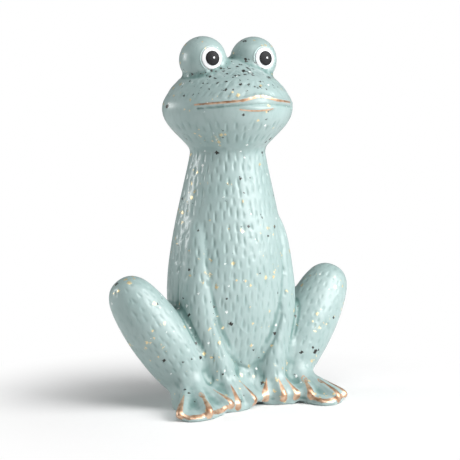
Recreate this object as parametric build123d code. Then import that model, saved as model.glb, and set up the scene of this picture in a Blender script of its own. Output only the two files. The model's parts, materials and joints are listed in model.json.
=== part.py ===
from build123d import *

# Frog figurine: hollow slip-cast castings luted together with clay, then glazed and enamelled.
#
# The figure sits upright, looks along -Y and stands on the plane Z = 0.
# Lengths are millimetres. Shapes are worked out about the torso's axis, and the whole
# figure is then moved so that the middle of its footprint is the origin.

import math
import os

os.makedirs("parts", exist_ok=True)

# Castings in general
wall = 4.5  # thickness that the slip builds up in the mould
floor = 5.0  # clay across the open foot of the torso
overrun = 1.0  # how far a cutting shape runs past what it cuts
vent_radius = 5.0  # hole through the floor, which lets the kiln's steam out
air_hole_radius = 2.5  # holes pierced behind each luted hollow casting
ring_points = 20  # points on each level ring that a form is lofted through

# Torso, from the ground to the neck seam
torso_height = 180.0
torso_half_width = 45.6
torso_front_depth = 36.0
torso_back_depth = 36.0
torso_shares = [  # height, half width, depth in front, depth behind
    (0.0, 0.72, 0.87, 0.74),
    (0.02, 0.78, 0.92, 0.82),
    (0.06, 0.84, 0.90, 0.91),
    (0.11, 0.88, 0.82, 0.95),
    (0.16, 0.91, 0.80, 0.975),
    (0.23, 0.945, 0.87, 0.995),
    (0.33, 0.975, 0.95, 1.0),
    (0.45, 1.0, 1.0, 1.0),
    (0.56, 0.965, 0.985, 0.97),
    (0.68, 0.885, 0.91, 0.90),
    (0.80, 0.78, 0.82, 0.81),
    (0.91, 0.675, 0.74, 0.71),
    (1.0, 0.60, 0.69, 0.65),
]

# Head, from the neck seam to the crown
head_height = 65.0
head_half_width = 49.3
head_front_depth = 48.0
head_back_depth = 35.5
snout_share = 0.38  # 0 is a plain ellipse in front, and 1 is a parabola
head_shares = [  # height, half width, depth in front, depth behind
    (0.0, 0.56, 0.53, 0.65),
    (0.07, 0.645, 0.635, 0.70),
    (0.15, 0.755, 0.735, 0.79),
    (0.24, 0.875, 0.845, 0.885),
    (0.33, 0.960, 0.935, 0.955),
    (0.43, 1.0, 0.985, 1.0),
    (0.52, 0.985, 1.0, 0.995),
    (0.60, 0.925, 0.970, 0.965),
    (0.69, 0.84, 0.880, 0.905),
    (0.78, 0.71, 0.745, 0.815),
    (0.87, 0.55, 0.520, 0.70),
    (0.94, 0.40, 0.315, 0.54),
    (0.985, 0.20, 0.135, 0.32),
    (1.0, 0.05, 0.03, 0.12),
]

# Mouth, on the front of the head
mouth_rise = 32.7  # middle of the mouth slit above the neck seam
mouth_droop = 3.0  # how much lower the slit's corners are
mouth_half_width = 39.0
mouth_slit_radius = 1.1
upper_lip_radius = 2.1
upper_lip_rise = 3.0  # lip's centreline above the slit near the corners
upper_lip_bow = 2.9  # extra rise of the bow at the middle
upper_lip_bow_half_width = 9.5
lower_lip_radius = 2.3
lower_lip_drop = 2.5  # lip's centreline below the slit at the middle
lower_lip_curl = 1.2  # how much nearer the slit its ends are
lower_lip_half_width = 15.0
lip_points = 15
lip_sink_share = 0.5  # of a lip's radius that its centreline lies in the head
lip_end_sink_share = 1.4  # the same at its ends, where it fades into the cheek

# Eyes
eye_radius = 16.8
eye_wall = 3.5
eye_spread = 20.6  # each eye's middle from the plane of symmetry
eye_forward = 1.1
eye_rise = 63.6  # eye's middle above the neck seam
eye_splay = 3.0  # degrees that each gaze turns outwards
eye_lift = 4.5  # degrees that each gaze turns upwards
eye_recess = 0.8  # depth of the pressed ring round the white
eye_groove = 0.5  # width of that ring
eye_white_radius = 7.6
eye_white_proud = 0.25  # how far the white stands past the eyeball
pupil_radius = 5.1
pupil_thickness = 0.3
glint_radius = 0.75
glint_thickness = 0.25
glint_offset = 0.6  # from the pupil's middle, towards the figure's left on both eyes
glint_rise = 0.3  # from the pupil's middle, upwards

# Foreleg, in relief along the torso's side and front
foreleg_bottom = 5.0
foreleg_length = 132.0
foreleg_spread = 32.2
foreleg_reach = 28.0
foreleg_thickness = 13.8
foreleg_shares = [  # height, distance from the middle, reach forwards, half thickness
    (0.0, 0.61, 1.0, 0.72),
    (0.07, 0.61, 0.98, 0.75),
    (0.16, 0.65, 0.91, 0.80),
    (0.265, 0.75, 0.78, 0.88),
    (0.43, 0.93, 0.61, 1.0),
    (0.59, 0.99, 0.525, 0.98),
    (0.79, 0.965, 0.455, 0.83),
    (0.93, 0.90, 0.39, 0.62),
    (1.0, 0.84, 0.35, 0.42),
]

# Legs, each a rounded form about a straight axis
thigh_radius = 18.8
thigh_hip = (27.0, 13.0, 26.0)  # end of the axis inside the torso
thigh_knee = (84.0, -4.0, 77.5)
thigh_shares = [  # distance along the axis, radius
    (0.0, 0.0),
    (0.02, 0.34),
    (0.08, 0.66),
    (0.20, 0.92),
    (0.36, 1.0),
    (0.54, 0.96),
    (0.72, 0.86),
    (0.86, 0.70),
    (0.95, 0.46),
    (0.99, 0.21),
    (1.0, 0.0),
]
shin_radius = 20.6
shin_ankle = (32.5, -17.0, 9.5)  # end of the axis inside the foot
shin_knee = (88.5, -4.0, 90.8)
shin_shares = [  # distance along the axis, radius
    (0.0, 0.0),
    (0.015, 0.33),
    (0.06, 0.60),
    (0.134, 0.79),
    (0.30, 0.95),
    (0.48, 1.0),
    (0.64, 0.975),
    (0.76, 0.90),
    (0.86, 0.795),
    (0.93, 0.645),
    (0.98, 0.40),
    (0.995, 0.21),
    (1.0, 0.0),
]

# Webbed feet: level rings spread down and out from the ankle into a web that carries toes.
# The photo's left and right feet differ, so each has its own web and toes.
paw_points = 48
web_margin = 14.0  # degrees that the web runs on past the ends of its edge
toe_girth_shares = [  # distance along a toe, radius
    (0.0, 0.0),
    (0.03, 0.52),
    (0.10, 0.86),
    (0.30, 0.98),
    (0.55, 0.92),
    (0.78, 0.98),
    (0.90, 0.93),
    (0.955, 0.74),
    (0.988, 0.41),
    (1.0, 0.0),
]
hind_foot_place = (43.5, -24.0)
hind_foot_height = 25.0
hind_foot_girth = 15.5
hind_foot_shares = [  # height, web's run out, girth of the ankle
    (0.0, 0.97, 0.78),
    (0.08, 1.0, 0.80),
    (0.17, 0.92, 0.82),
    (0.29, 0.65, 0.85),
    (0.41, 0.42, 0.87),
    (0.54, 0.23, 0.86),
    (0.69, 0.09, 0.81),
    (0.85, 0.01, 0.72),
    (1.0, 0.0, 0.60),
]
hind_toe_reach = 41.5  # from the ankle's middle
hind_toe_radius = 4.4
hind_toe_root = 20.0  # height of a toe's axis in the ankle
hind_toe_tip = 3.4  # and its height at the tip
left_hind_web_shares = [  # degrees from straight out sideways, reach
    (-50.0, 0.90),
    (-63.0, 0.93),
    (-76.0, 0.98),
    (-89.0, 0.96),
    (-102.0, 0.74),
]
right_hind_web_shares = [
    (-48.0, 1.02),
    (-63.0, 1.15),
    (-81.0, 1.01),
    (-100.0, 0.83),
    (-120.0, 0.78),
]
left_hind_toe_shares = [  # degrees from straight out sideways, reach, radius, height at the tip
    (-51.0, 0.94, 0.80, 1.0),
    (-72.0, 0.99, 1.0, 1.1),
    (-100.0, 0.71, 0.85, 1.8),
]
right_hind_toe_shares = [
    (-53.0, 1.10, 0.80, 1.0),
    (-81.0, 1.04, 1.0, 1.1),
    (-121.0, 0.83, 0.85, 1.5),
]
forefoot_place = (20.0, -25.5)
forefoot_height = 28.0
forefoot_girth = 12.5
forefoot_shares = [
    (0.0, 0.97, 1.0),
    (0.08, 1.0, 1.0),
    (0.17, 0.92, 0.99),
    (0.29, 0.68, 0.97),
    (0.41, 0.45, 0.94),
    (0.54, 0.25, 0.90),
    (0.69, 0.10, 0.83),
    (0.85, 0.02, 0.72),
    (1.0, 0.0, 0.56),
]
fore_toe_reach = 26.0
fore_toe_radius = 4.2
fore_toe_root = 27.0
fore_toe_tip = 3.2
left_fore_web_shares = [
    (-62.0, 0.98),
    (-80.0, 0.76),
    (-100.0, 0.66),
    (-130.0, 0.66),
]
right_fore_web_shares = [
    (-70.0, 1.0),
    (-92.0, 0.97),
    (-110.0, 0.94),
    (-128.0, 0.95),
]
left_fore_toe_shares = [
    (-66.0, 0.93, 0.78, 1.6),
    (-91.0, 0.82, 1.0, 1.3),
    (-129.0, 0.74, 0.85, 1.5),
]
right_fore_toe_shares = [
    (-91.0, 1.0, 0.75, 1.2),
    (-126.0, 1.06, 1.0, 1.1),
]


def closed_curve(points):
    """Smooth closed wire through points."""
    return Wire([Edge.make_spline(points, periodic=True)])


def ring(x, y, height, half_width, front, back, snout=0.0):
    """Closed level curve: half_width along X, and its own depth in front and behind."""
    points = []
    for k in range(ring_points):
        turn = 2 * math.pi * k / ring_points
        across, along = math.sin(turn), math.cos(turn)
        if along < 0:
            along = -front * (snout * along**2 - (1 - snout) * along)
        else:
            along = back * along
        points.append(Vector(x + half_width * across, y + along, height))
    return closed_curve(points)


def torso_form(inset=0.0, bottom=0.0, top=0.0):
    """Torso's shape, drawn in by inset, from bottom above the ground to top below the seam."""
    rings = []
    for rise, width, front, back in torso_shares:
        half_width = torso_half_width * width - inset
        depth_front = torso_front_depth * front - inset
        depth_back = torso_back_depth * back - inset
        height = bottom + (torso_height - bottom - top) * rise
        rings.append(ring(0, 0, height, half_width, depth_front, depth_back))
    return Solid.make_loft(rings)


def head_form(inset=0.0, drop=0.0):
    """Head's shape, drawn in by inset at the sides and the crown, from drop below the seam."""
    rings = []
    for rise, width, front, back in head_shares:
        half_width = head_half_width * width - inset
        depth_front = head_front_depth * front - inset
        depth_back = head_back_depth * back - inset
        if min(half_width, depth_front, depth_back) > 0:
            height = torso_height + (head_height - inset) * rise - drop * (1 - rise)
            rings.append(ring(0, 0, height, half_width, depth_front, depth_back, snout_share))
    return Solid.make_loft(rings)


def front_point(solid, x, height):
    """Point on the solid's front surface."""
    start = Vector(x, -head_front_depth - head_half_width, height)
    return solid.find_intersection_points(Axis(start, (0, 1, 0)))[0][0]


def lip(solid, radius, half_width, height_at, sink_share, end_sink_share):
    """Round bead along the front of a solid, whose ends sink away into it."""
    points = []
    for k in range(lip_points):
        share = 2 * k / (lip_points - 1) - 1
        x = half_width * share
        sink = radius * (sink_share + (end_sink_share - sink_share) * share**4)
        points.append(front_point(solid, x, height_at(x)) + Vector(0, sink, 0))
    path = Edge.make_spline(points)
    return sweep(Plane(path @ 0, z_dir=path % 0) * Circle(radius), path)


def slit_height(x):
    """Height of the mouth slit, which droops towards its corners."""
    return torso_height + mouth_rise - mouth_droop * (x / mouth_half_width) ** 2


def upper_lip_height(x):
    """Height of the upper lip's crest, which bows up at the middle."""
    bow = upper_lip_bow * math.exp(-((x / upper_lip_bow_half_width) ** 2))
    return slit_height(x) + upper_lip_rise + bow


def lower_lip_height(x):
    """Height of the lower lip's crest, whose ends curl up towards the slit."""
    curl = lower_lip_curl * (x / lower_lip_half_width) ** 2
    return slit_height(x) - lower_lip_drop + curl


def gaze_plane():
    """Plane at the left eye's middle whose normal is the eye's gaze."""
    turn, lift = math.radians(eye_splay), math.radians(eye_lift)
    level = math.cos(lift)
    gaze = Vector(math.sin(turn) * level, -math.cos(turn) * level, math.sin(lift))
    middle = Vector(eye_spread, -eye_forward, torso_height + eye_rise)
    return Plane(middle, x_dir=Vector(0, 0, 1).cross(gaze), z_dir=gaze)


def eye_patch(inner, outer, radius, offset=0.0, rise=0.0):
    """Round patch between two spheres about the eye's middle, moved to the left and up."""
    rod = Cylinder(radius, eye_radius * 2, align=(Align.CENTER, Align.CENTER, Align.MIN))
    return gaze_plane() * ((Sphere(outer) - Sphere(inner)) & (Pos(offset, rise, 0) * rod))


def eye_glint(offset):
    """White dot on the left pupil."""
    inner = eye_radius + eye_white_proud + pupil_thickness
    return eye_patch(inner, inner + glint_thickness, glint_radius, offset, glint_rise)


def foreleg_form():
    """Left foreleg's shape, from inside the foot to the shoulder where it fades out."""
    rings = []
    for rise, spread, reach, thick in foreleg_shares:
        half = foreleg_thickness * thick
        height = foreleg_bottom + foreleg_length * rise
        rings.append(ring(foreleg_spread * spread, -foreleg_reach * reach, height, half, half, half))
    return Solid.make_loft(rings)


def turned_form(start, end, radius, shares, inset=0.0):
    """Rounded form about the line from start to end, drawn in by inset all round."""
    start, end = Vector(start), Vector(end)
    length = (end - start).length
    points = []
    for along, girth in shares:
        points.append(((radius - inset) * girth, inset + (length - inset * 2) * along))
    curve = Spline(*points)
    face = make_face([curve.edge(), Line(points[-1], points[0]).edge()])
    return Plane(start, z_dir=end - start) * revolve(Rot(X=90) * face, Axis.Z)


def thigh_form(inset=0.0):
    """Left thigh's shape."""
    return turned_form(thigh_hip, thigh_knee, thigh_radius, thigh_shares, inset)


def shin_form(inset=0.0):
    """Left shin's shape."""
    return turned_form(shin_ankle, shin_knee, shin_radius, shin_shares, inset)


def turn_between(a, b):
    """Degrees between two directions."""
    return abs((a - b + 180.0) % 360.0 - 180.0)


def reach_at(direction, edge):
    """Web's reach in a direction, in even steps between the edge's points and level past them."""
    edge = sorted(edge)
    if direction <= edge[0][0]:
        return edge[0][1]
    for (first, first_reach), (second, second_reach) in zip(edge, edge[1:]):
        if direction <= second:
            share = (direction - first) / (second - first)
            return first_reach + (second_reach - first_reach) * share
    return edge[-1][1]


def web_form(place, height, girth, shares, edge):
    """Round ankle whose level rings spread near the ground into a fan that reaches its edge."""
    directions = [direction for direction, _ in edge]
    fan_middle = (max(directions) + min(directions)) / 2
    fan_half = (max(directions) - min(directions)) / 2 + web_margin
    rings = []
    for rise, web_out, swell in shares:
        ankle = girth * swell
        points = []
        for k in range(paw_points):
            direction = fan_middle - 180.0 + 360.0 * k / paw_points
            off = min(1.0, turn_between(direction, fan_middle) / fan_half)
            fan = 0.5 + 0.5 * math.cos(math.pi * off**3)
            out = ankle + web_out * (reach_at(direction, edge) - ankle) * fan
            x = place[0] + out * math.cos(math.radians(direction))
            y = place[1] + out * math.sin(math.radians(direction))
            points.append(Vector(x, y, height * rise))
        rings.append(closed_curve(points))
    return Solid.make_loft(rings)


def toe_form(place, direction, reach, radius, root, tip):
    """Rounded toe that runs down and out from inside the ankle."""
    x = place[0] + reach * math.cos(math.radians(direction))
    y = place[1] + reach * math.sin(math.radians(direction))
    return turned_form((place[0], place[1], root), (x, y, tip), radius, toe_girth_shares)


def paw_form(place, height, girth, shares, reach, radius, root, tip, web, toes):
    """Webbed foot with its toes, flat on the ground."""
    paw = web_form(place, height, girth, shares, [(turn, reach * share) for turn, share in web])
    for turn, share, thick, lift in toes:
        paw = paw + toe_form(place, turn, reach * share, radius * thick, root, tip * lift)
    above = Box(torso_height, torso_height, height * 2, align=(Align.CENTER, Align.CENTER, Align.MIN))
    return paw & above


def forefoot_form(web, toes):
    """Left forefoot's shape, or the right one's mirror image, with the given web and toes."""
    return paw_form(
        forefoot_place,
        forefoot_height,
        forefoot_girth,
        forefoot_shares,
        fore_toe_reach,
        fore_toe_radius,
        fore_toe_root,
        fore_toe_tip,
        web,
        toes,
    )


def hind_foot_form(web, toes):
    """Left hind foot's shape, or the right one's mirror image, with the given web and toes."""
    return paw_form(
        hind_foot_place,
        hind_foot_height,
        hind_foot_girth,
        hind_foot_shares,
        hind_toe_reach,
        hind_toe_radius,
        hind_toe_root,
        hind_toe_tip,
        web,
        toes,
    )


def paw_forms(side):
    """Shapes of the feet on one side, drawn on the left."""
    if side == "left":
        return {
            "forefoot": forefoot_form(left_fore_web_shares, left_fore_toe_shares),
            "hind_foot": hind_foot_form(left_hind_web_shares, left_hind_toe_shares),
        }
    return {
        "forefoot": forefoot_form(right_fore_web_shares, right_fore_toe_shares),
        "hind_foot": hind_foot_form(right_hind_web_shares, right_hind_toe_shares),
    }


def air_hole(start, end):
    """Round rod between two points, for piercing the walls that it crosses."""
    run = Vector(end) - Vector(start)
    rod = Cylinder(air_hole_radius, run.length, align=(Align.CENTER, Align.CENTER, Align.MIN))
    return Plane(start, z_dir=run) * rod


def with_mirror(shape):
    """The left shape together with its mirror image on the right."""
    return [shape, mirror(shape, about=Plane.YZ)]


def hollow_torso(outside):
    """Torso casting, open to the head, with a floor, a vent and air holes into the thighs."""
    inside = torso_form(wall, floor, -overrun)
    reach = floor + overrun * 2
    vent = Cylinder(vent_radius, reach, align=(Align.CENTER, Align.CENTER, Align.MIN))
    holes = with_mirror(air_hole(thigh_hip, thigh_knee))
    return outside - inside - Pos(0, 0, -overrun) * vent - holes


def hollow_head(outside):
    """Head casting, open to the torso, with lips, a mouth slit and air holes into the eyes."""
    upper = lip(
        outside,
        upper_lip_radius,
        mouth_half_width,
        upper_lip_height,
        lip_sink_share,
        lip_end_sink_share,
    )
    lower = lip(
        outside,
        lower_lip_radius,
        lower_lip_half_width,
        lower_lip_height,
        lip_sink_share,
        lip_end_sink_share,
    )
    slit = lip(outside, mouth_slit_radius, mouth_half_width, slit_height, 0.0, lip_end_sink_share)
    under_eye = (eye_spread, -eye_forward, torso_height + mouth_rise)
    holes = with_mirror(air_hole(under_eye, gaze_plane().origin))
    return (outside + upper + lower - slit) - head_form(wall, overrun) - holes


def eye_pieces(side):
    """Hollow eyeball that sits on the head and the enamel laid on it, drawn on the left."""
    plane = gaze_plane()
    recess = eye_radius - eye_recess
    white = eye_radius + eye_white_proud
    pupil = white + pupil_thickness
    ball = plane * Sphere(eye_radius) - plane * Sphere(eye_radius - eye_wall) - head_form()
    return {
        "eyeball": ball - eye_patch(recess, eye_radius + eye_wall, eye_white_radius + eye_groove),
        "eye_white": eye_patch(recess, white, eye_white_radius),
        "pupil": eye_patch(white, pupil, pupil_radius),
        "eye_glint": eye_glint(glint_offset if side == "left" else -glint_offset),
    }


def leg_pieces(side):
    """Legs and feet, drawn on the left, each cut away where it is luted onto another piece."""
    torso, foreleg, thigh, shin = torso_form(), foreleg_form(), thigh_form(), shin_form()
    forefoot, hind_foot = paw_forms(side).values()
    width = torso_half_width * 2
    left_half = Box(width, width * 2, width, align=(Align.MIN, Align.CENTER, Align.CENTER))
    knee_hole = air_hole(thigh_hip, thigh_knee)
    return {
        "forefoot": (forefoot & left_half) - torso,
        "foreleg": foreleg - torso - forefoot,
        "hind_foot": hind_foot - forefoot - torso - foreleg,
        "shin": shin - shin_form(wall) - torso - hind_foot - forefoot - foreleg - knee_hole,
        "thigh": thigh - thigh_form(wall) - torso - shin - hind_foot - forefoot - foreleg,
    }


def build():
    """Every piece of the figure by name, about the torso's axis."""
    pieces = {"torso": hollow_torso(torso_form()), "head": hollow_head(head_form())}
    for side in ("left", "right"):
        for name, shape in (eye_pieces(side) | leg_pieces(side)).items():
            pieces[f"{side}_{name}"] = shape if side == "left" else mirror(shape, about=Plane.YZ)
    return pieces


def footprint_middle(pieces):
    """Middle of the figure's extent along Y."""
    boxes = [piece.bounding_box() for piece in pieces.values()]
    return (min(box.min.Y for box in boxes) + max(box.max.Y for box in boxes)) / 2


def main_solid(shape):
    """The largest solid of a shape."""
    return max(shape.solids(), key=lambda solid: solid.volume)


pieces = {name: main_solid(shape) for name, shape in build().items()}
shift = Pos(0, -footprint_middle(pieces), 0)
for name, piece in pieces.items():
    export_step(shift * piece, f"parts/{name}.step")
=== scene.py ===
# Frog figurine: one fired skin over the luted castings, with pressed dents, glaze and gilding.
#
# Metres. The figure looks along -Y and stands on the plane Z = 0.

import itertools
import json
import math

import bpy
import numpy as np
import openvdb
from mathutils import Color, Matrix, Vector
from mathutils.bvhtree import BVHTree
from mathutils.kdtree import KDTree


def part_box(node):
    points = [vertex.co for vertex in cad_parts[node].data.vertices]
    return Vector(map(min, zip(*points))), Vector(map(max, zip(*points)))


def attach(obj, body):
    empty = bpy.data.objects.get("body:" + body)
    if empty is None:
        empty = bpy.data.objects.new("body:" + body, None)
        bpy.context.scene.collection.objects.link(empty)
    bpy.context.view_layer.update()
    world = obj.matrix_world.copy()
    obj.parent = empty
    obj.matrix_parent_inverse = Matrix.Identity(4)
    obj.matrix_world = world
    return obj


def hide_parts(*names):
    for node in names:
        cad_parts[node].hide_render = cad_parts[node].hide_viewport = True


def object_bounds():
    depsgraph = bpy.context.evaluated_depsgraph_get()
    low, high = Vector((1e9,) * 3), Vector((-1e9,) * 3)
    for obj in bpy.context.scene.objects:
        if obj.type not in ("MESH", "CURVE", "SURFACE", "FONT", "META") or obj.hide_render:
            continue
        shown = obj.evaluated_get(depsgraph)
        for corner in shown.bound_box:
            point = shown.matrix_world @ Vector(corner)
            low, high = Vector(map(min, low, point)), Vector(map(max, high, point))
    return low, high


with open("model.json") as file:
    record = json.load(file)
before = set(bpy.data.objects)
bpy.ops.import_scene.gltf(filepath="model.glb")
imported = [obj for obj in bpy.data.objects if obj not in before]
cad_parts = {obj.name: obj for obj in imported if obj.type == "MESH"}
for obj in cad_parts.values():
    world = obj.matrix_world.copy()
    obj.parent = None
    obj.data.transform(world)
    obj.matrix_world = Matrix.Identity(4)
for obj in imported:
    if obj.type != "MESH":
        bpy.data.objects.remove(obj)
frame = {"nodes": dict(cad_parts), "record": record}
cad_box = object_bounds()
mm = 0.001

# Skin
voxel = 0.75 * mm  # spacing of the skin's points
margin = 2.5 * mm  # how far from a surface its field is worked out
fillets = (  # in mm, height from which hollow corners are rounded so, and their radius
    (0, 5.0), (10, 6.5), (24, 8.0), (44, 2.6), (162, 6.0), (198, 0.4), (228, 4.0)
)
fillet_blend = 12.0 * mm  # height over which one radius gives way to the next
hand_web_radius = 12.0 * mm  # of the clay in the gap between the hands
hand_web_half_width = 13.0 * mm
hand_web_top = 26.0 * mm
hand_web_back = 18.0 * mm  # where the web starts, in front of the torso's axis
hand_web_blend = 8.0 * mm  # over which it starts and ends
hand_web_voxel = 1.6 * mm
hand_web_least = 0.25 * mm  # taken off the web, so that it has no thin edge
label_voxel = 1.0 * mm  # spacing of the points that castings' distances are read from
label_reach = 7.0 * mm  # how far from a casting the skin may still belong to it
ball_reach = 0.1 * mm  # how far from an eyeball's surface the skin is still the eyeball's
smallest_patch = 400  # faces, below which it goes to its neighbour
sorting_rounds = 3  # of giving small patches away, at most
skirt = 1.6 * mm  # how far each patch's edge is turned in before it is closed
cap_depth = 2.1 * mm  # least distance of the closing faces from the skin
cap_rings = 6  # rings of faces that each closing has
sinking_rounds = 4  # of moving a closing's points further in
vent_radius = 5.0 * mm
vent_depth = 5.0 * mm
plug_margin = 1.5 * mm  # of the block that fills the vent at first
plug_inset = 0.3 * mm  # of that block from the floor's two faces
tiny = 1e-9  # keeps a length of nothing from dividing
tiny_area = 1e-20

# Hollows, in which the glaze gathers and which are also darkened with painted shade
curve_radius = 2.2 * mm  # over which the skin's field is averaged
blur_reach = 2.5  # in such radii
hollow_bend = 0.35 * mm  # change at which a hollow counts as full
dent_pool_and_shade = 0.2  # share of a full hollow that the deepest dent adds, as pooled glaze and painted shade

# Dents pressed into the clay, in rows round the castings' axes. Each dent's own value is drawn
# from the range that a pair gives.
dent_depth = 0.75 * mm
dent_half_width = 0.9 * mm
dent_half_length = 4.5 * mm
dent_depths = (0.55, 1.0)  # shares of dent_depth
dent_widths = (0.75, 1.1)
dent_lengths = (0.7, 1.15)
dent_lean = 0.08  # most that a dent leans to either side, as a slope
dent_taper = 0.35  # share by which one end is narrower and the other wider
dent_end_power = 1.5  # how softly its ends run out
dent_pitch_across = 5.6 * mm
dent_pitch_along = 8.2 * mm
dent_gaps = (0.8, 1.2)  # shares of dent_pitch_across
row_places = (0.35, 0.65)  # shares of dent_pitch_along, where a row lies in its strip
row_stray = 0.3  # share of it by which a dent is off its row, at most
row_start = 0.2  # most that a row is turned by chance, in radians
row_stagger = 0.5  # turn from each row to the next
missed_turn = 0.1  # turn that is skipped where nothing is met
nearest_wall = 4.0 * mm  # least distance from the axis that gaps are laid out at
trunk_rows = (8.0 * mm, 181.0 * mm)  # heights of the rows on the torso and forelegs
neck_rows = (184.0 * mm, 206.0 * mm)  # under the mouth
stroke_rows = (214.0 * mm, 243.0 * mm)  # of the strokes on the forehead and snout
stroke_from = 219.0 * mm  # height of the lowest stroke
stroke_scale = 0.75  # of a dent
stroke_lean = 0.6  # slope at which the strokes lean outwards on both sides
stroke_rounds = 3  # sets of rows that are laid over each other
leg_scale = 0.7  # of a dent, for those on the legs
dent_seed = 7
belly_crease = (  # X and height in mm of places on the front that the crease runs through
    (-27, 62), (-18, 40), (-7, 28), (1, 25), (11, 31), (20, 45), (27, 62)
)
crease_depth = 1.1 * mm
crease_half_width = 1.5 * mm
ray_start = 150.0 * mm  # from the torso's axis
leg_reach = 30.0 * mm  # longest ray from a leg's axis to its skin
left_hip = (27.0 * mm, 13.0 * mm, 26.0 * mm)  # ends of the left thigh's and shin's axes, with
left_shin_foot = (32.5 * mm, -17.0 * mm, 9.5 * mm)  # Y from the torso's axis
left_knee = (88.5 * mm, -4.0 * mm, 90.8 * mm)

# Dark flakes on the head
fleck_from = 218.0 * mm  # height from which they thicken on the front
fleck_blend = 8.0 * mm  # height over which they do
fleck_depth = 15.0 * mm  # in front of the torso's axis, where they are thickest
fleck_side = (8.0 * mm, 24.0 * mm)  # X at which they start to thin out, and at which they have
fleck_thinnest = 0.25

# Eyes, whose castings are spheres with a pressed ring and enamel laid inside it
eye_radius = 16.8 * mm
eye_spread = 20.6 * mm
eye_forward = 1.1 * mm
eye_height = 243.6 * mm
eye_splay = math.radians(3.0)
eye_lift = math.radians(4.5)
ring_radius = 8.1 * mm  # outside of the pressed ring
ring_depth = 0.8 * mm
ring_lip = 0.22 * mm  # clay raised round it
ring_lip_width = 1.6 * mm
white_radius = 7.6 * mm
white_proud = 0.25 * mm  # how far the white stands out of the eyeball
pupil_radius = 5.1 * mm
pupil_thickness = 0.3 * mm
# The glint is a painted highlight: a white bead on the pupil standing for the lamp's reflection, on
# the same side in both eyes
glint_radius = 0.75 * mm
glint_thickness = 0.25 * mm
glint_offset = 0.6 * mm  # from the pupil's middle towards the frog's left
glint_rise = 0.3 * mm
edge_softness = 0.15 * mm
turned_steps = 128  # round the gaze
ball_steps, lip_steps, recess_steps = 72, 9, 12  # points along each part of a profile
disc_back_steps, disc_rim_steps, disc_front_steps, glint_steps = 8, 7, 10, 8

# Mouth, as heights on the front of the head
mouth_height = 212.7 * mm  # middle of the slit
mouth_droop = 3.0 * mm  # how much lower its corners are
mouth_half_width = 39.0 * mm
upper_lip_rise = 3.0 * mm  # above the slit
upper_lip_bow = 2.9 * mm
lip_bow_half_width = 9.5 * mm
upper_gilt_from = -39.5 * mm  # ends of the brushed line on the upper lip
upper_gilt_to = 32.0 * mm
lower_gilt_middle = -2.5 * mm  # of the brushed line on the lower lip
lower_gilt_half_width = 12.5 * mm
lower_gilt_drop = 4.2 * mm  # below the slit
lower_gilt_curl = 1.4 * mm
gilt_half_width = 1.0 * mm
upper_gilt_swell = (0.6, 1.0)  # shares of it at the line's ends and in its middle
lower_gilt_swell = (0.5, 0.8)
brush_power = 0.7  # below 1, a brushed line widens soon
gilt_points = 60
no_gilt = -5.0  # for skin that no line comes near, in mm
mouth_gilt_reach = 12.0 * mm  # no lip's gilding further than this above or below the slit
slit_half_width = 1.6 * mm  # of the band along the slit in which the pooled glaze and painted shade are lighter
slit_paleness = 0.6

# Gilding on the feet, along the toes and the web's edge
ankle = (43.5 * mm, -24.0 * mm)  # X and Y on the left side, from the torso's axis
wrist = (20.0 * mm, -25.5 * mm)
hind_toe_root = 20.0 * mm  # height at which a toe's axis leaves the ankle
fore_toe_root = 27.0 * mm  # and the wrist
toes = {  # degrees from straight out sideways, then reach, radius and height of the tip in mm
    "left_hind_foot": ((-51, 39, 3.5, 3.4), (-72, 41.1, 4.4, 3.7), (-100, 29.5, 3.7, 6.1)),
    "right_hind_foot": ((-53, 45.7, 3.5, 3.4), (-81, 43.2, 4.4, 3.7), (-121, 34.4, 3.7, 5.1)),
    "left_forefoot": ((-66, 24.2, 3.3, 5.1), (-91, 21.3, 4.2, 4.2), (-129, 19.2, 3.6, 4.8)),
    "right_forefoot": ((-91, 26, 3.2, 3.8), (-126, 27.6, 4.2, 3.5)),
}
rims = {  # gilded stretches of the web's edge, as degrees and reach in mm
    "left_hind_foot": (
        ((-51, 38), (-62, 38.5), (-72, 40)),
        ((-72, 40), (-82, 40.5), (-92, 38), (-100, 30)),
    ),
    "right_hind_foot": (
        ((-53, 44.5), (-62, 47), (-72, 45), (-81, 42.5)),
        ((-81, 42.5), (-95, 36.5), (-108, 33.5), (-121, 33.5)),
    ),
}
rim_height = 5.0 * mm
rim_half_widths = (1.1 * mm, 1.9 * mm)  # at the ends of the edge and between them
rim_steps = 4  # parts between two places of a rim
foot_top = 35.0 * mm  # no gilding above this on the feet
toe_gilt_points = 12
toe_gilt_from = 0.5  # share of a toe's length from which it is gilded
toe_gilt_half_widths = (0.3 * mm, 2.9 * mm)  # at the start and at the tip
toe_tip_parts = 9  # over one of which the line comes down to the tip
toe_rings = {  # brushed rings at the roots of toes, as degrees and reach in mm
    "left_hind_foot": ((-100, 17), (-72, 24)),
    "right_hind_foot": ((-81, 26),),
}
ring_size = (1.7 * mm, 3.0 * mm)  # across the toe and along it
ring_gilt_half_width = 0.5 * mm
ring_steps = 16

# Glaze, enamel and paper
colours = {  # as a screen shows them
    "mint": (187, 205, 204),
    "pale": (201, 217, 216),
    # deep: glaze where it pools, also used as painted shade in hollows and dents
    "deep": (106, 137, 133),
    "dark_flake": (30, 28, 22),
    "gold_flake": (226, 207, 160),
    "white_flake": (236, 240, 238),
    "lustre_shade": (176, 130, 98),
    "lustre_light": (228, 192, 162),
}
noises = {  # size of the features, scale of Z, detail and roughness
    "cloud": (22.0 * mm, 1.0, 3.0, 0.5),
    "runs": (3.0 * mm, 0.25, 3.0, 0.5),
    "cluster": (16.0 * mm, 1.0, 1.0, 0.5),
    "brush": (1.6 * mm, 1.0, 4.0, 0.7),
    "lustre": (5.0 * mm, 1.0, 3.0, 0.5),
    "relief": (1.3 * mm, 0.3, 3.0, 0.5),
    "white_enamel": (1.5 * mm, 1.0, 4.0, 0.5),
    "dark_enamel": (0.8 * mm, 1.0, 4.0, 0.5),
    "fibre": (4.0 * mm, 1.0, 3.0, 0.5),
}
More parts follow.
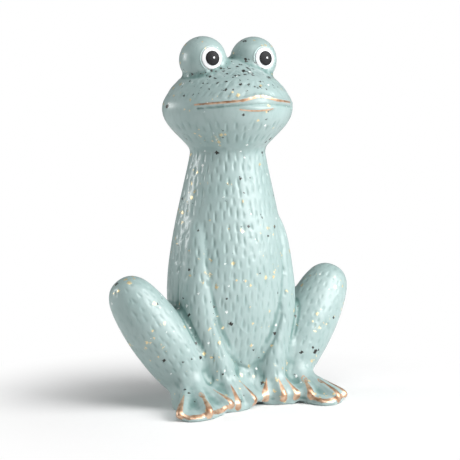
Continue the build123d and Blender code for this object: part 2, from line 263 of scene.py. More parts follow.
changes = {  # where a smooth change starts and ends, and what from and to, if not 0 and 1
    "cloud": (0.3, 0.7),
    "runs": (0.45, 0.8, 0.0, 0.12),
    "small_dark": (0.0, 1.0, 0.05, 0.8),
    "large_dark": (0.0, 1.0, 0.04, 0.5),
    "cluster": (0.48, 0.62, 0.05, 0.65),
    "gold_among_dark": (0.0, 1.0, 1.0, 0.3),
    "gilt_edge": (-0.15, 0.25),
    "gilt_cover": (0.2, 0.6, 0.75, 1.0),
    "lustre": (0.3, 0.7),
    "roughness": (0.2, 0.8, 0.34, 0.5),
}
pool_start = 0.5  # share of the deep colour outside the hollows
pool_and_shade_gain = 0.75  # and how much a full hollow adds, as pooled glaze and painted shade
flake_kinds = {  # size of a cell and of a flake, turn of the cells and scale of Z
    "small_dark": (3.4 * mm, 1.05 * mm, (0.3, 0.5, 0.2), 1.0),
    "large_dark": (7.0 * mm, 1.9 * mm, (0.7, 0.2, 0.9), 1.4),
    "gold": (4.2 * mm, 1.2 * mm, (0.2, 0.9, 0.4), 1.0),
    "white": (5.5 * mm, 0.9 * mm, (0.9, 0.1, 0.6), 1.0),
}
white_flakes = 0.22  # share of the cells that hold one
flake_raggedness = 1.4  # how fine a flake's ragged outline is, against its size
flake_stray = 1.9  # shares of a flake's size: how far the outline strays,
smallest_flake = 0.35  # the smallest flake,
flake_edge = 0.12  # and the edge over which it fades in
noise_middle = 0.5
gilt_edge_noise = (1.4, -0.7)  # in mm, range and start of the raggedness of the gilding's edge
gold_metal, gilt_metal = 0.6, 0.85  # how metallic they are
relief_share, flake_share = 0.25, 0.5  # heights of the glaze's relief and of its flakes
glaze_bump = (0.2 * mm, 0.5)  # distance and strength
enamel_bump = (0.05 * mm, 0.4)
coat_weight, coat_roughness = 0.35, 0.2
enamel_noise = (0.3, 0.7)  # at which the second colour starts, and at which it is full
enamels = {  # two colours, roughness and specular level
    # white_enamel also colours the glints, which are painted highlights
    "white_enamel": ((244, 244, 245), (236, 237, 240), 0.2, 0.5),
    "dark_enamel": ((14, 14, 16), (34, 34, 37), 0.4, 0.2),
}
enamel_roughening = 1.6  # of its roughness, where it is roughest
screen_white = 255

# Studio, with distances in metres
pure_white = (1.0, 1.0, 1.0, 1.0)
world_strength = 0.165  # as a light, while the camera sees it at 1
lamps = {  # azimuth and elevation in degrees, distance, size and power in watts
    "key": (37.0, 28.0, 1.1, 0.9, 18.8),
    "rim": (-125.0, 15.0, 1.1, 0.4, 4.8),
    "top": (-15.0, 64.0, 1.1, 0.6, 2.9),
}
floor_half_width = 3.0
floor_greys = (0.86, 0.90)
floor_roughness = 0.9
floor_specular = 0.1
floor_fade = (0.09, 0.24)  # distance at which the floor starts to turn white, and where it has
aim_height = 134.0 * mm
camera_azimuth = -29.0
camera_elevation = 5.0
camera_distance = 1200.0 * mm
focal_pixels = 1668.0  # the photograph's focal length in its own pixels
photo_size = 460.0
middle_column = 227.5  # where the aim point lies in the photograph
middle_row = 213.0
sensor_width = 36.0  # in mm, as Blender takes it
clip_distances = (0.01, 20.0)

sides = {"left": 1, "right": -1}  # sign of X
body_nodes = ["torso", "head"] + [
    f"{side}_{part}"
    for side in sides
    for part in ("foreleg", "forefoot", "thigh", "shin", "hind_foot")
]
ball_nodes = [f"{side}_eyeball" for side in sides]
slots = {row["node"]: row["material_slot"] for row in frame["record"]["subparts"]}
plain_attributes = {"hollow": 0.0, "gilt": no_gilt, "flecks": 0.0}


def node_mesh(name):
    """Points and triangles of a casting."""
    mesh = frame["nodes"][name].data
    mesh.calc_loop_triangles()
    points = np.empty(len(mesh.vertices) * 3, np.float32)
    mesh.vertices.foreach_get("co", points)
    triangles = np.empty(len(mesh.loop_triangles) * 3, np.int32)
    mesh.loop_triangles.foreach_get("vertices", triangles)
    return points.reshape(-1, 3), triangles.reshape(-1, 3).astype(np.uint32)


def joined(meshes):
    """Several meshes as one list of points and one of triangles."""
    points, triangles, count = [], [], 0
    for some_points, some_triangles in meshes:
        points.append(some_points)
        triangles.append(some_triangles + count)
        count += len(some_points)
    return np.concatenate(points), np.concatenate(triangles).astype(np.uint32)


def block(low, high):
    """Closed box between two corners."""
    ends = list(zip(low, high))
    corners = [[x, y, z] for x in ends[0] for y in ends[1] for z in ends[2]]
    faces = [(0, 1, 3, 2), (4, 6, 7, 5), (0, 4, 5, 1), (2, 3, 7, 6), (0, 2, 6, 4), (1, 5, 7, 3)]
    halves = [half for a, b, c, d in faces for half in ((a, b, c), (a, c, d))]
    return np.array(corners, np.float32), np.array(halves, np.uint32)


torso_low, torso_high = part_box("torso")
axis_y = (torso_low.y + torso_high.y) / 2  # the torso's axis


class Window:
    """The block of space that the skin is worked out in, as an array of evenly spaced points."""

    def __init__(self, step, reach):
        low, high = (np.array(corner) for corner in cad_box)
        self.step = step
        self.low = np.floor((low - reach) / step).astype(int)
        self.corner = tuple(self.low.tolist())
        self.size = np.ceil((high + reach) / step).astype(int) - self.low

    def level_set(self, points, triangles, quads, outside, inside):
        """Distance field of a closed mesh."""
        return openvdb.FloatGrid.createLevelSetFromPolygons(
            points,
            triangles=triangles,
            quads=quads,
            transform=openvdb.createLinearTransform(self.step),
            exBandWidth=outside / self.step,
            inBandWidth=inside / self.step,
        )

    def read(self, grid):
        """The field's values at the window's points."""
        values = np.zeros(self.size, np.float32)
        grid.copyToArray(values, ijk=self.corner)
        return values

    def axes(self):
        """X, Y and Z of the window's points, ready to be combined."""
        lines = [(self.low[k] + np.arange(self.size[k])) * self.step for k in range(3)]
        lines = [line.astype(np.float32) for line in lines]
        return np.meshgrid(*lines, indexing="ij", sparse=True)

    def sample(self, values, points):
        """Values between the window's points."""
        place = points / self.step - self.low
        corner = np.clip(np.floor(place).astype(int), 0, self.size - 2)
        share = (place - corner).astype(np.float32)
        total = np.zeros(len(points), np.float32)
        x, y, z = corner.T
        for i, j, k in itertools.product((0, 1), repeat=3):
            weight = np.ones(len(points), np.float32)
            for axis, upper in enumerate((i, j, k)):
                weight *= share[:, axis] if upper else 1 - share[:, axis]
            total += weight * values[x + i, y + j, z + k]
        return total

    def surface(self, values):
        """Points and quads where the values are zero."""
        grid = openvdb.FloatGrid(float(values.max()))
        grid.transform = openvdb.createLinearTransform(self.step)
        grid.copyFromArray(values, ijk=self.corner)
        return grid.convertToQuads(0.0)


def blurred(values, radius, step):
    """Values averaged over a soft ball."""
    reach = int(math.ceil(blur_reach * radius / step))
    offsets = np.arange(-reach, reach + 1)
    weights = np.exp(-0.5 * (offsets * step / radius) ** 2)
    weights /= weights.sum()
    for axis in range(3):
        edges = [(reach, reach) if k == axis else (0, 0) for k in range(3)]
        padded = np.pad(values, edges, mode="edge")
        total = np.zeros_like(values)
        for offset, weight in zip(range(2 * reach + 1), weights):
            cut = [slice(None)] * 3
            cut[axis] = slice(offset, offset + values.shape[axis])
            total += np.float32(weight) * padded[tuple(cut)]
        values = total
    return values


def smooth_step(low, high, values):
    """0 below low, 1 above high and an even curve between."""
    share = np.clip((values - low) / (high - low), 0, 1)
    return share * share * (3 - 2 * share)


def filleted(window, points, triangles, radius):
    """Distance field of the castings' outside, with every hollow corner rounded to radius."""
    grid = window.level_set(points, triangles, None, radius + margin, margin)
    swollen, quads = grid.convertToQuads(radius)
    grid = window.level_set(swollen, None, quads, margin, radius + margin)
    return window.read(grid) + np.float32(radius)


def add_hand_web(window, field, points, triangles):
    """Fills the gap between the hands with clay, in place."""
    coarse = Window(hand_web_voxel, hand_web_radius + margin * 2)
    filled = filleted(coarse, points, triangles, hand_web_radius)
    x, y, z = window.axes()
    share = 1 - smooth_step(hand_web_half_width - hand_web_blend, hand_web_half_width, np.abs(x))
    share = share * (1 - smooth_step(hand_web_top - hand_web_blend, hand_web_top, z))
    share = share * smooth_step(hand_web_back, hand_web_back + hand_web_blend, axis_y - y)
    share = share * (np.abs(field) < hand_web_radius) * (z > -margin)
    where = np.nonzero(share)
    places = (window.low + np.stack(where, 1)) * window.step
    added = field[where] - coarse.sample(filled, places) - hand_web_least
    field[where] -= np.maximum(added, 0) * share[where]


def skin_field(window):
    """Distance field of the whole figure's skin."""
    meshes = [node_mesh(name) for name in body_nodes + ball_nodes]
    plug = vent_radius + plug_margin
    low = (-plug, axis_y - plug, plug_inset)
    high = (plug, axis_y + plug, vent_depth - plug_inset)
    meshes.append(block(low, high))
    points, triangles = joined(meshes)
    x, y, z = window.axes()
    field = filleted(window, points, triangles, fillets[0][1] * mm)
    for height, radius in fillets[1:]:
        low, high = height * mm - fillet_blend / 2, height * mm + fillet_blend / 2
        change = filleted(window, points, triangles, radius * mm) - field
        field += change * smooth_step(low, high, z)
    add_hand_web(window, field, points, triangles)
    vent = np.maximum(np.sqrt(x**2 + (y - axis_y) ** 2) - vent_radius, z - vent_depth)
    return np.maximum(field, -vent)


def labels_of(points):
    """Which casting each point of the skin belongs to, as a place in body_nodes + ball_nodes."""
    window = Window(label_voxel, label_reach)
    nearest = np.full(len(points), np.inf, np.float32)
    labels = np.zeros(len(points), int)
    for place, name in enumerate(body_nodes + ball_nodes):
        if name in ball_nodes:
            middle = gaze_axes(name.split("_")[0])[0]
            distance = np.linalg.norm(points - middle, axis=1) - eye_radius
            closer = (distance < ball_reach) & (distance < nearest)
        else:
            mesh_points, triangles = node_mesh(name)
            grid = window.level_set(mesh_points, triangles, None, label_reach, label_reach)
            distance = window.sample(window.read(grid), points)
            closer = distance < nearest
        nearest[closer] = distance[closer]
        labels[closer] = place
    return labels


def quad_edges(quads):
    """Every side of every quad, with the quad that it belongs to."""
    sides = np.concatenate([quads[:, [k, (k + 1) % 4]] for k in range(4)])
    owners = np.tile(np.arange(len(quads)), 4)
    return sides.astype(np.int64), owners


def neighbours(quads):
    """Pairs of quads that share a side."""
    sides, owners = quad_edges(quads)
    low, high = sides.min(1), sides.max(1)
    keys = low * (sides.max() + 1) + high
    order = np.argsort(keys, kind="stable")
    keys, owners = keys[order], owners[order]
    same = keys[1:] == keys[:-1]
    return owners[:-1][same], owners[1:][same]


def tidied(labels, quads):
    """Labels with small stray patches given to the patch round them."""
    first, second = neighbours(quads)
    for _ in range(sorting_rounds):
        parent = list(range(len(quads)))

        def root(k):
            while parent[k] != k:
                parent[k] = parent[parent[k]]
                k = parent[k]
            return k

        same = labels[first] == labels[second]
        for a, b in zip(first[same].tolist(), second[same].tolist()):
            a, b = root(a), root(b)
            if a != b:
                parent[b] = a
        patch = np.array([root(k) for k in range(len(quads))])
        names, counts = np.unique(patch, return_counts=True)
        small = set(names[counts < smallest_patch].tolist())
        if not small:
            break
        votes = {}
        for a, b in zip(first[~same].tolist(), second[~same].tolist()):
            for inner, outer in ((a, b), (b, a)):
                if patch[inner] in small:
                    tally = votes.setdefault(int(patch[inner]), {})
                    tally[int(labels[outer])] = tally.get(int(labels[outer]), 0) + 1
        for name, tally in votes.items():
            labels[patch == name] = max(sorted(tally), key=tally.get)
    return labels


def normals_of(points, quads):
    """Soft normal at each point."""
    corners = points[quads].astype(np.float64)
    faces = np.cross(corners[:, 2] - corners[:, 0], corners[:, 3] - corners[:, 1])
    total = np.zeros((len(points), 3))
    for corner in range(4):
        for axis in range(3):
            total[:, axis] += np.bincount(quads[:, corner], faces[:, axis], len(points))
    return total / np.maximum(np.linalg.norm(total, axis=1, keepdims=True), tiny_area)


def unit(vector):
    """The vector at length 1."""
    return vector / np.linalg.norm(vector)


def upright(heights):
    """Ends of a stretch of the torso's axis."""
    return [(0.0, axis_y, height) for height in heights]


def dent_seeds(tree, labels, axis, nodes, reach, chance):
    """Middle and direction of each dent on the castings round an axis, in staggered rows."""
    start, end = (np.array(point) for point in axis)
    along = unit(end - start)
    side = unit(np.cross(along, [0.0, 1.0, 0.0]))
    front = np.cross(side, along)
    wanted = {(body_nodes + ball_nodes).index(name) for name in nodes}
    seeds = []
    rows = int(np.linalg.norm(end - start) / dent_pitch_along)
    for row in range(rows):
        middle = start + along * dent_pitch_along * (row + chance.uniform(*row_places))
        turn = chance.uniform(0, row_start) + row * row_stagger
        stop = turn + 2 * math.pi
        while turn < stop:
            out = side * math.cos(turn) + front * math.sin(turn)
            spot, _, face, distance = tree.ray_cast(Vector(middle), Vector(out), reach)
            if face is None:
                turn += missed_turn
                continue
            if int(labels[face]) in wanted:
                shift = along * chance.uniform(-row_stray, row_stray) * dent_pitch_along
                seeds.append((np.array(spot) + shift, along))
            gap = dent_pitch_across * chance.uniform(*dent_gaps)
            turn += gap / max(distance, nearest_wall)
    return seeds


def tree_of(points):
    """The points, ready to be looked up by place."""
    nearby = KDTree(len(points))
    for k, point in enumerate(points.tolist()):
        nearby.insert(point, k)
    nearby.balance()
    return nearby


def pressed(nearby, points, normals, seeds, scale, lean_to, chance):
    """How deep each point of the skin is pressed in by the dents."""
    depth = np.zeros(len(points))
    for spot, along in seeds:
        length = dent_half_length * chance.uniform(*dent_lengths) * scale
        width = dent_half_width * chance.uniform(*dent_widths)
        deep = dent_depth * chance.uniform(*dent_depths) * scale
        lean = lean_to * np.sign(spot[0]) + chance.uniform(-dent_lean, dent_lean)
        found = nearby.find_range(spot, length)
        if not found:
            continue
        index = np.array([k for _, k, _ in found])
        near = normals[index[int(np.argmin([d for _, _, d in found]))]]
        down = unit(along - near * (along @ near))
        across = np.cross(near, down)
        down = unit(down + across * lean)
        across = np.cross(near, down)
        offset = points[index] - spot
        u, v = offset @ across / width, offset @ down / length
        u = u * (1 + dent_taper * v)
        shape = np.exp(-(u**2)) * np.clip(1 - v**2, 0, 1) ** dent_end_power
        depth[index] = np.maximum(depth[index], deep * shape)
    return depth


def line_distance(points, line, half_widths):
    """Distance of each point from a line of varying half width, less that half width."""
    best = np.full(len(points), np.inf)
    for a, b, wide_a, wide_b in zip(line, line[1:], half_widths, half_widths[1:]):
        run = b - a
        share = np.clip((points - a) @ run / (run @ run), 0, 1)
        gap = np.linalg.norm(points - a - share[:, None] * run, axis=1)
        best = np.minimum(best, gap - (wide_a + (wide_b - wide_a) * share))
    return best


def on_front(tree, x, height):
    """Point on the front of the skin."""
    spot = tree.ray_cast(Vector((x, axis_y - ray_start, height)), Vector((0, 1, 0)))[0]
    return np.array(spot)


def slit_height(x):
    """Height of the mouth slit, which droops towards its corners."""
    return mouth_height - mouth_droop * (x / mouth_half_width) ** 2


def lip_lines(tree):
    """Gilded crest of the upper lip and underside of the lower one, with their half widths."""
    upper = np.linspace(upper_gilt_from, upper_gilt_to, gilt_points)
    bow = upper_lip_bow * np.exp(-((upper / lip_bow_half_width) ** 2))
    share = np.linspace(-1, 1, gilt_points)
    lower = lower_gilt_middle + lower_gilt_half_width * share
    drop = lower_gilt_drop - lower_gilt_curl * share**2
    swell = np.sin(math.pi * np.linspace(0, 1, gilt_points)) ** brush_power
    lines = []
    for places, heights, (ends, middle) in (
        (upper, slit_height(upper) + upper_lip_rise + bow, upper_gilt_swell),
        (lower, slit_height(lower) - drop, lower_gilt_swell),
    ):
        line = [on_front(tree, x, height) for x, height in zip(places, heights)]
        lines.append((line, gilt_half_width * (ends + (middle - ends) * swell)))
    return lines


def foot_spot(foot, degrees, reach, height):
    """Point at a direction and reach from a foot's ankle or wrist."""
    side = sides[foot.split("_")[0]]
    middle = ankle if foot.endswith("hind_foot") else wrist
    turn = math.radians(degrees)
    x = side * (middle[0] + reach * math.cos(turn))
    return np.array([x, axis_y + middle[1] + reach * math.sin(turn), height])


def snapped(tree, line):
    """The line's points moved onto the skin."""
    return [np.array(tree.find_nearest(Vector(point))[0]) for point in line]


def dropped(tree, point):
    """Point on the top of the foot straight above or below a point."""
    start = Vector((point[0], point[1], foot_top))
    spot = tree.ray_cast(start, Vector((0, 0, -1)))[0]
    return np.array(spot if spot is not None else tree.find_nearest(start)[0])


def toe_lines(tree):
    """Gilded ridges of the toes and edges of the webs, with their half widths."""
    lines = []
    for foot, row in toes.items():
        root = hind_toe_root if foot.endswith("hind_foot") else fore_toe_root
        for degrees, reach, radius, tip in row:
            start = foot_spot(foot, degrees, 0, root)
            end = foot_spot(foot, degrees, reach * mm, tip * mm)
            run = unit(end - start)
            top = unit(np.array([0, 0, 1]) - run * run[2]) * radius * mm
            ridge = [
                start + (end - start) * share + top * min(1, (1 - share) * toe_tip_parts)
                for share in np.linspace(toe_gilt_from, 1, toe_gilt_points)
            ]
            widths = np.linspace(*toe_gilt_half_widths, toe_gilt_points)
            lines.append((snapped(tree, ridge), widths))
        for degrees, reach in toe_rings.get(foot, ()):
            middle = foot_spot(foot, degrees, reach * mm, root)
            out = unit(middle - foot_spot(foot, degrees, 0, root))
            across = np.array([-out[1], out[0], 0.0])
            wide, long = ring_size
            ring = [
                dropped(tree, middle + across * wide * math.cos(turn) + out * long * math.sin(turn))
                for turn in np.linspace(0, 2 * math.pi, ring_steps)
            ]
            lines.append((ring, np.full(ring_steps, ring_gilt_half_width)))
        for rim in rims.get(foot, ()):
            places = [foot_spot(foot, degrees, reach * mm, rim_height) for degrees, reach in rim]
            edge = [
                a + (b - a) * k / rim_steps
                for a, b in zip(places, places[1:])
                for k in range(rim_steps)
            ]
            edge.append(places[-1])
            ends, middle = rim_half_widths
            widths = ends + (middle - ends) * np.sin(math.pi * np.linspace(0, 1, len(edge)))
            lines.append((snapped(tree, edge), widths))
    return lines


def patch_edges(quads, count):
    """Sides that only one quad of the patch has, in that quad's direction."""
    sides, _ = quad_edges(quads)
    keys = sides[:, 0] * count + sides[:, 1]
    back = sides[:, 1] * count + sides[:, 0]
    return sides[~np.isin(keys, back)]


def loops_of(edges):
    """Closed runs of edges."""
    following = {}
    for a, b in edges.tolist():
        following.setdefault(a, []).append(b)
    loops = []
    while following:
        first = next(iter(following))
        loop, here = [], first
        while here in following:
            loop.append(here)
            ends = following[here]
            after = ends.pop()
            if not ends:
                del following[here]
            here = after
        loops.append(loop)
    return loops


def mesh_piece(node, kind, points, faces, normals, attributes):
    """New object with soft shading that stands for a node and rides on the figure's one body."""
    name = f"{node}_{kind}"
    mesh = bpy.data.meshes.new(name)
    mesh.from_pydata(points.tolist(), [], faces)
    mesh.validate()
    for label, values in attributes.items():
        layer = mesh.attributes.new(label, "FLOAT", "POINT")
        layer.data.foreach_set("value", np.asarray(values, np.float32))
    mesh.shade_smooth()
    if normals is not None:
        mesh.normals_split_custom_set_from_vertices(normals.tolist())
    piece = bpy.data.objects.new(name, mesh)
    bpy.context.scene.collection.objects.link(piece)
    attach(piece, "root")
    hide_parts(node)
    return piece


def sunk(window, field, places):
    """The places moved inwards until they lie at least cap_depth inside the skin."""
    steps = np.eye(3) * window.step
    for _ in range(sinking_rounds):
        value = window.sample(field, places)
        slope = np.stack([window.sample(field, places + step) - value for step in steps], 1)
        steepness = np.maximum(np.linalg.norm(slope, axis=1, keepdims=True), tiny)
        places = places - slope / steepness * np.maximum(value + cap_depth, 0)[:, None]
    return places


def skin_piece(node, window, field, points, quads, normals, attributes):
    """The patch of skin over one casting, closed inside the figure."""
    loops = loops_of(patch_edges(quads, len(points)))
    used = np.unique(quads)
    place = np.full(len(points), -1)
    place[used] = np.arange(len(used))
    corners = list(points[used])
    faces = place[quads].tolist()
    soft = list(normals[used])
    for loop in loops:
        first, count = len(corners), len(loop)
        ring = points[loop] - normals[loop] * skirt
        middle = ring.mean(0) - normals[loop].mean(0) * skirt
        corners += list(ring)
        for share in np.linspace(0, 1, cap_rings + 1)[1:-1]:
            corners += list(sunk(window, field, ring + (middle - ring) * share))
        corners += list(sunk(window, field, middle[None, :]))
        last = len(corners) - 1
        soft += [-unit(normals[loop].mean(0) + tiny)] * (last + 1 - first)
        for k, (a, b) in enumerate(zip(loop, loop[1:] + loop[:1])):
            after = (k + 1) % count
            faces.append([int(place[b]), int(place[a]), first + k, first + after])
            for low in range(first, last - count, count):
                faces.append([low + after, low + k, low + count + k, low + count + after])
            faces.append([last - count + after, last - count + k, last])
    spare = len(corners) - len(used)
    extra = {
        label: np.append(values[used], [plain_attributes[label]] * spare)
        for label, values in attributes.items()
    }
    return mesh_piece(node, "skin", np.array(corners), faces, np.array(soft), extra)


def gaze_axes(word):
    """Middle of the left or right eye and its left, up and gaze directions."""
    side = sides[word]
    middle = np.array([side * eye_spread, axis_y - eye_forward, eye_height])
    level = math.cos(eye_lift)
    aside, forward = side * math.sin(eye_splay) * level, math.cos(eye_splay) * level
    gaze = np.array([aside, -forward, math.sin(eye_lift)])
    left = unit(np.cross([0.0, 0.0, 1.0], gaze))
    return middle, left, np.cross(gaze, left), gaze


def turned(node, kind, profile, origin, left, up, forward):
    """Closed form whose profile of (radius, height) pairs is turned about the forward direction."""
    points, faces = [], []
    inner = profile[1:-1]
    for radius, height in inner:
        for k in range(turned_steps):
            turn = 2 * math.pi * k / turned_steps
            flat = left * math.cos(turn) + up * math.sin(turn)
            points.append(origin + flat * radius + forward * height)
    for row in range(len(inner) - 1):
        for k in range(turned_steps):
            after = (k + 1) % turned_steps
            low, high = row * turned_steps, (row + 1) * turned_steps
            faces.append([low + k, low + after, high + after, high + k])
    ends = [(profile[0][1], 0, True), (profile[-1][1], (len(inner) - 1) * turned_steps, False)]
    for height, first, backwards in ends:
        points.append(origin + forward * height)
        for k in range(turned_steps):
            a, b = first + k, first + (k + 1) % turned_steps
            faces.append([b, a, len(points) - 1] if backwards else [a, b, len(points) - 1])
    plain = {label: [value] * len(points) for label, value in plain_attributes.items()}
    return mesh_piece(node, kind, np.array(points), faces, None, plain)


def arc(radius, start, stop, steps):
    """Profile points on a sphere, from one angle off the gaze to another."""
    return [(radius * math.sin(a), radius * math.cos(a)) for a in np.linspace(start, stop, steps)]


def ball_profile():
    """Eyeball with a pressed ring and a raised lip round it, from the back to the front."""
    outer = math.asin(ring_radius / eye_radius)
    lip = outer + ring_lip_width / eye_radius
    points = arc(eye_radius, math.pi, lip, ball_steps)
    for share in np.linspace(0, 1, lip_steps)[1:]:
        angle = lip + (outer - lip) * share
        radius = eye_radius + ring_lip * math.sin(math.pi * share) ** 2 - edge_softness * share**4
        points.append((radius * math.sin(angle), radius * math.cos(angle)))
    floor = eye_radius - ring_depth
    points += arc(floor, outer - edge_softness / eye_radius, 0, recess_steps)
    return points


def disc_profile(inner, outer, radius):
    """Domed disc between two spheres with a rounded rim, from the back to the front."""
    points = arc(inner, 0, math.asin(radius / inner), disc_back_steps)
    rim = (outer - inner) / 2
    for share in np.linspace(0, 1, disc_rim_steps)[1:-1]:
        turn = math.pi * share
        spread = radius + edge_softness * math.sin(turn)
        sphere = inner + rim * (1 - math.cos(turn))
        points.append((spread, math.sqrt(sphere**2 - spread**2)))
    edge = math.asin((radius - edge_softness) / outer)
    points += arc(outer, edge, 0, disc_front_steps)
    return points


def bead_profile(foot):
    """Small domed white drop, a painted highlight, from its flat foot to its top."""
    points = [(0.0, foot)]
    for share in np.linspace(0, 1, glint_steps)[:-1]:
        turn = math.pi / 2 * share
        rise = edge_softness + glint_thickness * math.sin(turn)
        points.append((glint_radius * math.cos(turn), foot + rise))
    points.append((0.0, foot + edge_softness + glint_thickness))
    return points


def eye(word):
    """Eyeball with its white, pupil and glint, the glint being a painted highlight."""
    middle, left, up, gaze = gaze_axes(word)
    white_face = eye_radius + white_proud
    pupil_face = white_face + pupil_thickness
    aside = math.hypot(glint_offset, glint_rise)
    foot = math.sqrt(pupil_face**2 - aside**2) - edge_softness
    spot = middle + left * glint_offset + up * glint_rise
    disc = disc_profile(eye_radius - ring_depth, white_face, white_radius)
    dark = disc_profile(white_face - edge_softness, pupil_face, pupil_radius)
    forms = {  # kind of piece, its profile and the point that it is turned about
        "eyeball": ("skin", ball_profile(), middle),
        "eye_white": ("enamel", disc, middle),
        "pupil": ("enamel", dark, middle),
        # the glint is a painted highlight, a white bead where the lamp's reflection falls
        "eye_glint": ("enamel", bead_profile(foot), spot),
    }
    return {
        f"{word}_{part}": turned(f"{word}_{part}", kind, profile, origin, left, up, gaze)
        for part, (kind, profile, origin) in forms.items()
    }


class Paint:
    """A material or world, and short calls that add nodes to it."""

    def __init__(self, owner, shader="Principled BSDF"):
        owner.use_nodes = True
        self.owner = owner
        self.tree = owner.node_tree
        self.shader = self.tree.nodes[shader]

    def add(self, kind, inputs=(), **settings):
        """New node with its settings and inputs, which are values or other nodes' sockets."""
        node = self.tree.nodes.new(kind)
        for key, value in settings.items():
            setattr(node, key, value)
        for key, value in dict(inputs).items():
            self.feed(node.inputs[key], value)
        return node

    def feed(self, socket, value):
        """Sets a socket, or links it."""
        if isinstance(value, bpy.types.NodeSocket):
            self.tree.links.new(value, socket)
        else:
            socket.default_value = value

    def math(self, operation, *values):
        """Sum, product and so on of two or three values."""
        node = self.add("ShaderNodeMath", enumerate(values), operation=operation)
        return node.outputs[0]

    def step(self, value, low, high, start=0.0, stop=1.0):
        """Smooth change from start to stop as the value goes from low to high."""
        inputs = {"Value": value, "From Min": low, "From Max": high}
        inputs |= {"To Min": start, "To Max": stop}
        node = self.add("ShaderNodeMapRange", inputs, interpolation_type="SMOOTHSTEP")
        return node.outputs["Result"]

    def change(self, name, value):
        """One of the table's smooth changes."""
        return self.step(value, *changes[name])

    def mix(self, share, first, second):
        """Colour between two colours."""
        node = self.add("ShaderNodeMix", data_type="RGBA")
        sockets = [socket for socket in node.inputs if socket.type == "RGBA"]
        for socket, value in zip([node.inputs["Factor"], *sockets], (share, first, second)):
            self.feed(socket, value)
        return next(socket for socket in node.outputs if socket.type == "RGBA")

    def place(self, scale=(1.0, 1.0, 1.0), turn=(0.0, 0.0, 0.0)):
        """Object coordinates, scaled and turned."""
        own = self.add("ShaderNodeTexCoord").outputs["Object"]
        inputs = {"Vector": own, "Scale": scale, "Rotation": turn}
        return self.add("ShaderNodeMapping", inputs).outputs["Vector"]

    def noise(self, name):
        """One of the table's noises."""
        size, upwards, detail, roughness = noises[name]
        inputs = {"Scale": 1 / size, "Detail": detail, "Roughness": roughness}
        inputs["Vector"] = self.place((1.0, 1.0, upwards))
        return self.add("ShaderNodeTexNoise", inputs).outputs["Fac"]

    def attribute(self, name):
        """A value kept on the mesh."""
        return self.add("ShaderNodeAttribute", attribute_name=name).outputs["Fac"]

    def flakes(self, kind, share):
        """Scattered angular flakes, one at most in each cell, on a share of the cells."""
        cell, size, turn, upwards = flake_kinds[kind]
        wobble = {"Scale": flake_raggedness / size, "Vector": self.place()}
        wobble = self.add("ShaderNodeTexNoise", wobble).outputs["Color"]
        bend = {0: wobble, 1: (noise_middle,) * 3}
        bend = self.add("ShaderNodeVectorMath", bend, operation="SUBTRACT").outputs[0]
        bend = {0: bend, "Scale": size * flake_stray}
        bend = self.add("ShaderNodeVectorMath", bend, operation="SCALE").outputs[0]
        moved = {0: self.place((1.0, 1.0, upwards), turn), 1: bend}
        moved = self.add("ShaderNodeVectorMath", moved, operation="ADD").outputs[0]
        grid = {"Vector": moved, "Scale": 1 / cell}
        cells = self.add("ShaderNodeTexVoronoi", grid, distance="CHEBYCHEV")
        picks = self.add("ShaderNodeSeparateColor", {0: cells.outputs["Color"]})
        chosen = self.math("LESS_THAN", picks.outputs[0], share)
        reach = self.step(picks.outputs[1], 0.0, 1.0, smallest_flake * size / cell, size / cell)
        edge = self.math("SUBTRACT", reach, cells.outputs["Distance"])
        return self.math("MULTIPLY", chosen, self.step(edge, 0.0, flake_edge * size / cell))

    def bump(self, height, distance, strength):
        """Gives the shader a fine relief."""
        inputs = {"Height": height, "Distance": distance, "Strength": strength}
        relief = self.add("ShaderNodeBump", inputs).outputs["Normal"]
        self.feed(self.shader.inputs["Normal"], relief)


def colour(screen):
    """Screen colour as a shader takes it."""
    shares = Color([part / screen_white for part in screen])
    return (*shares.from_srgb_to_scene_linear(), 1.0)


